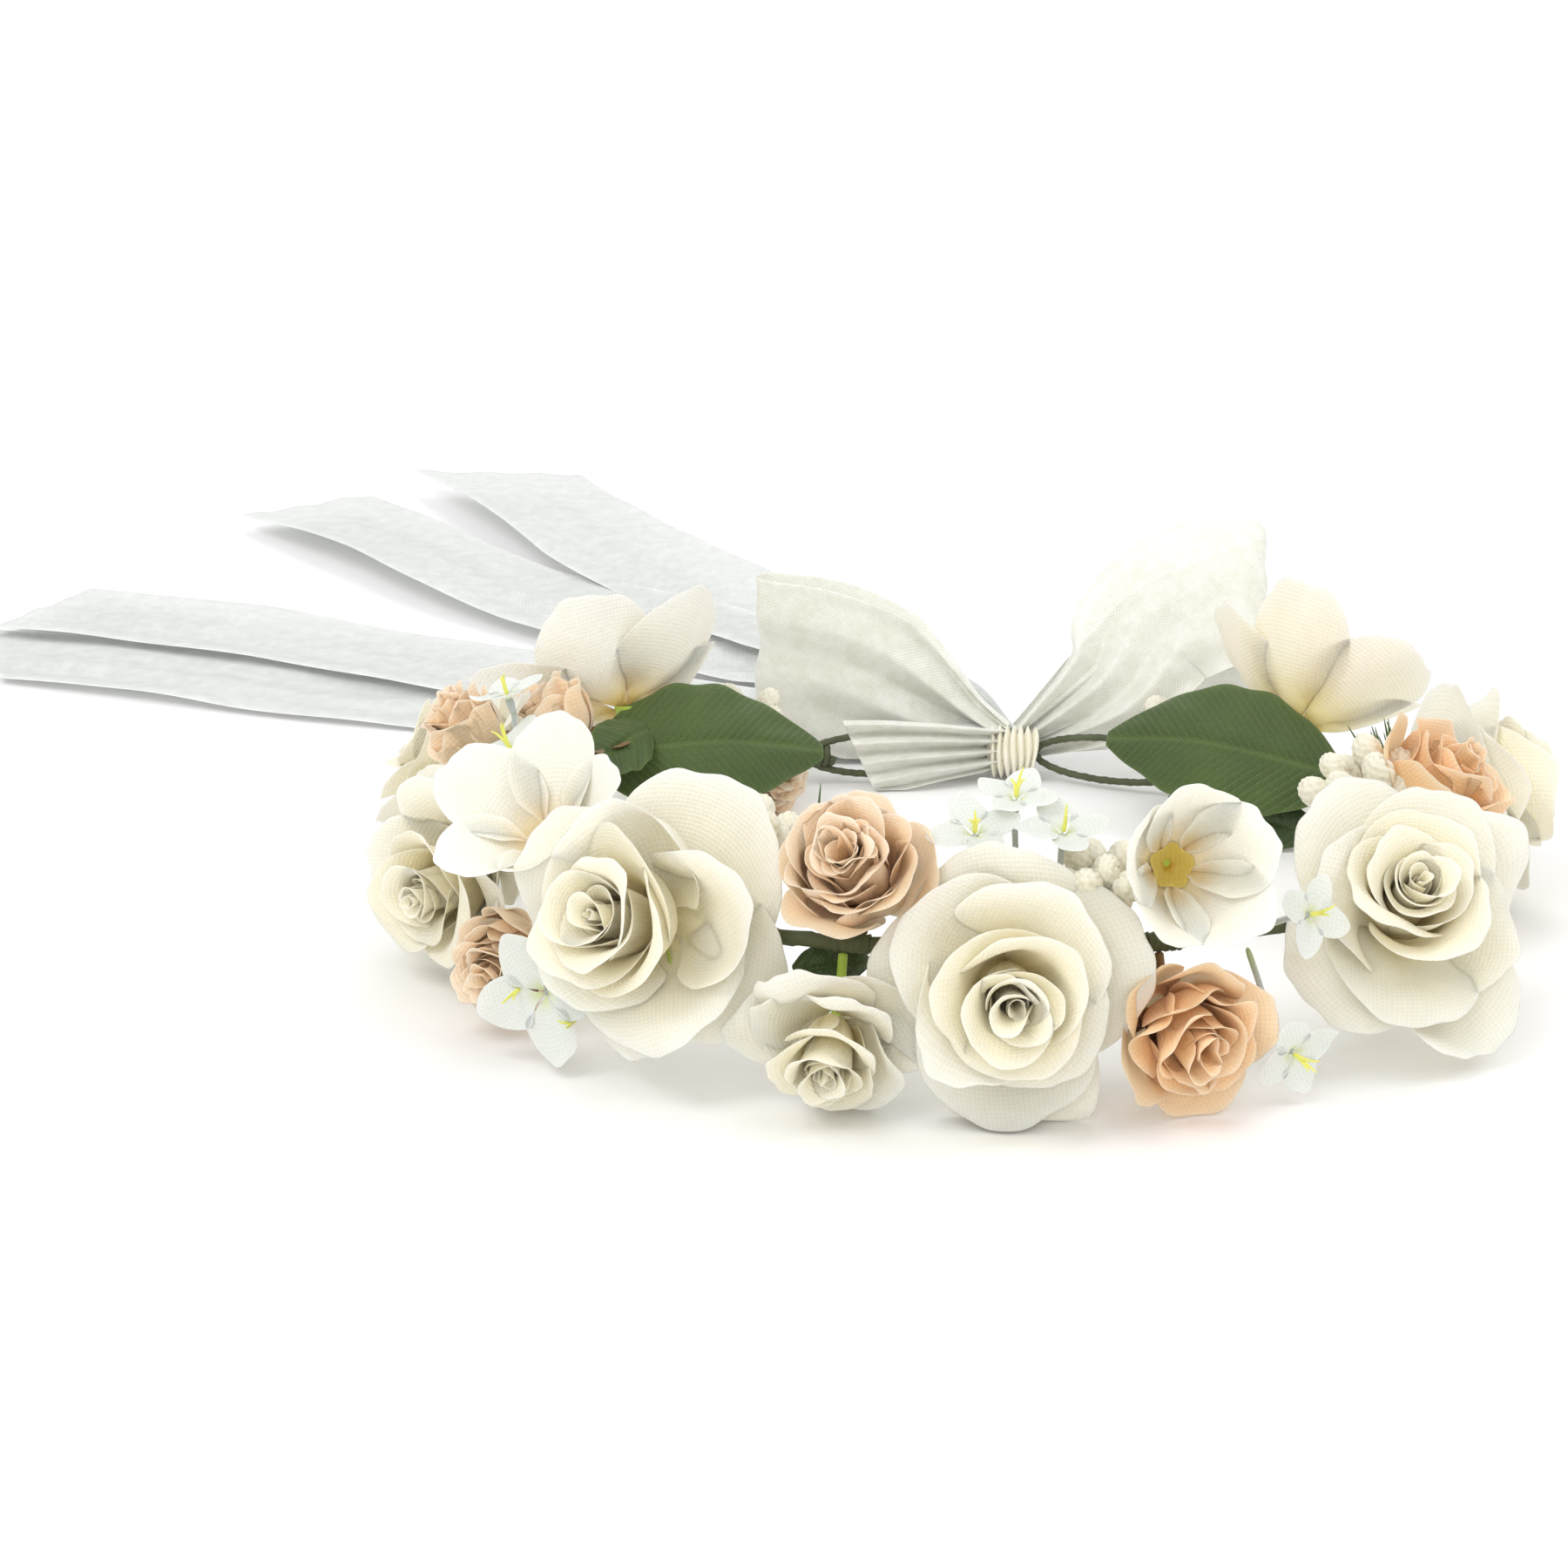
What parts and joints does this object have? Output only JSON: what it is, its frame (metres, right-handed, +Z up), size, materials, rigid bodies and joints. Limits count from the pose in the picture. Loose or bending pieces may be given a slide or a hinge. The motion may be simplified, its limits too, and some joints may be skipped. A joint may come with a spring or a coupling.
{
  "type": "flower crown",
  "caption": "Wire hoop headpiece bound with cream and peach fabric roses, open blossoms, leaves and berries, closed at the back by a sheer ribbon bow with long tails.",
  "frame": {"origin": "centre of the hoop that sits on the head, on the hoop wire's own plane", "axes": "+Z up, at right angles to the surface the crown rests on; -Y to the front of the crown; +X to the wearer's left; the hoop plane slopes 7.5 degrees down to the back"},
  "size_m": [0.3653, 0.4456, 0.0646],
  "materials": {
    "steel_wire": "bare drawn steel, hidden inside the tape",
    "coated_wire": "dull green floral-taped wire",
    "floral_tape": "waxy crepe tape, wound at a slant",
    "lime_calyx": "satin moulded plastic",
    "maroon_calyx": "dyed fabric, matte",
    "rose_heart_fabric": "ivory woven polyester, matte",
    "rose_petal_fabric": "cream woven polyester, matte",
    "yellow_throat": "dyed yellow fabric, matte",
    "blossom_fabric": "off-white woven polyester, matte",
    "peach_fabric": "peach woven polyester, matte",
    "stamen_plastic": "soft yellow-green plastic",
    "lilac_fabric": "white woven polyester, matte",
    "berry_foam": "foam grains, matte",
    "fern_plastic": "dull green plastic",
    "leaf_fabric": "printed green fabric, slight sheen",
    "organza": "sheer off-white organza"
  },
  "bodies": {
    "crown": {"hoop_wire": "steel_wire", "hoop_tape": "floral_tape", "left_eyelet": "coated_wire", "right_eyelet": "coated_wire", "eyelet_bindings": "floral_tape", "stem_bindings": "floral_tape", "rose_front_outer": "rose_petal_fabric", "rose_front_heart": "rose_heart_fabric", "rose_front_left_outer": "rose_petal_fabric", "rose_front_left_heart": "rose_heart_fabric", "rose_right_outer": "rose_petal_fabric", "rose_right_heart": "rose_heart_fabric", "rose_left_outer": "rose_petal_fabric", "rose_left_heart": "rose_heart_fabric", "rose_low_outer": "rose_petal_fabric", "rose_low_heart": "rose_heart_fabric", "rose_right_rear_outer": "rose_petal_fabric", "rose_right_rear_heart": "rose_heart_fabric", "rose_left_rear_outer": "rose_petal_fabric", "rose_left_rear_heart": "rose_heart_fabric", "rose_calyxes": "lime_calyx", "blossom_left": "blossom_fabric", "blossom_front": "blossom_fabric", "blossom_left_rear": "blossom_fabric", "blossom_right_rear": "blossom_fabric", "blossom_throats": "yellow_throat", "blossom_calyxes": "lime_calyx", "peach_front": "peach_fabric", "peach_front_right": "peach_fabric", "peach_right": "peach_fabric", "peach_left": "peach_fabric", "peach_left_low": "peach_fabric", "peach_left_rear": "peach_fabric", "peach_inner": "peach_fabric", "peach_calyxes": "maroon_calyx", "lilac_left_high": "lilac_fabric", "lilac_left_low": "lilac_fabric", "lilac_front": "lilac_fabric", "lilac_front_right": "lilac_fabric", "lilac_stamens": "stamen_plastic", "berries_front_left": "berry_foam", "berries_front_right": "berry_foam", "berries_right": "berry_foam", "berries_rear": "berry_foam", "fern_front_left": "fern_plastic", "fern_right": "fern_plastic", "leaf_right": "leaf_fabric", "leaf_right_under": "leaf_fabric", "leaf_left": "leaf_fabric", "leaf_left_small": "leaf_fabric", "leaves_front": "leaf_fabric"},
    "bow": {"bow_knot": "organza", "bow_loop_left": "organza", "bow_loop_right": "organza", "bow_short_ends": "organza"},
    "tail_1": {"tail_1": "organza"},
    "tail_2": {"tail_2": "organza"},
    "tail_3": {"tail_3": "organza"},
    "tail_4": {"tail_4": "organza"}
  },
  "joints": [
    {"name": "bow_swing", "type": "hinge", "parent": "crown", "child": "bow", "pos_m": [0.01, 0.09171, -0.01207], "axis": [1, 0, 0], "range_deg": [-85, 0]},
    {"name": "tail_1_fan", "type": "hinge", "parent": "bow", "child": "tail_1", "pos_m": [0.008, 0.1, -0.016], "axis": [0, 0, 1], "range_deg": [-40, 30]},
    {"name": "tail_2_fan", "type": "hinge", "parent": "bow", "child": "tail_2", "pos_m": [0.008, 0.1, -0.016], "axis": [0, 0, 1], "range_deg": [-50, 20]},
    {"name": "tail_3_fan", "type": "hinge", "parent": "bow", "child": "tail_3", "pos_m": [0.008, 0.1, -0.016], "axis": [0, 0, 1], "range_deg": [-70, 8]},
    {"name": "tail_4_fan", "type": "hinge", "parent": "bow", "child": "tail_4", "pos_m": [0.008, 0.1, -0.016], "axis": [0, 0, 1], "range_deg": [-75, 4]}
  ]
}
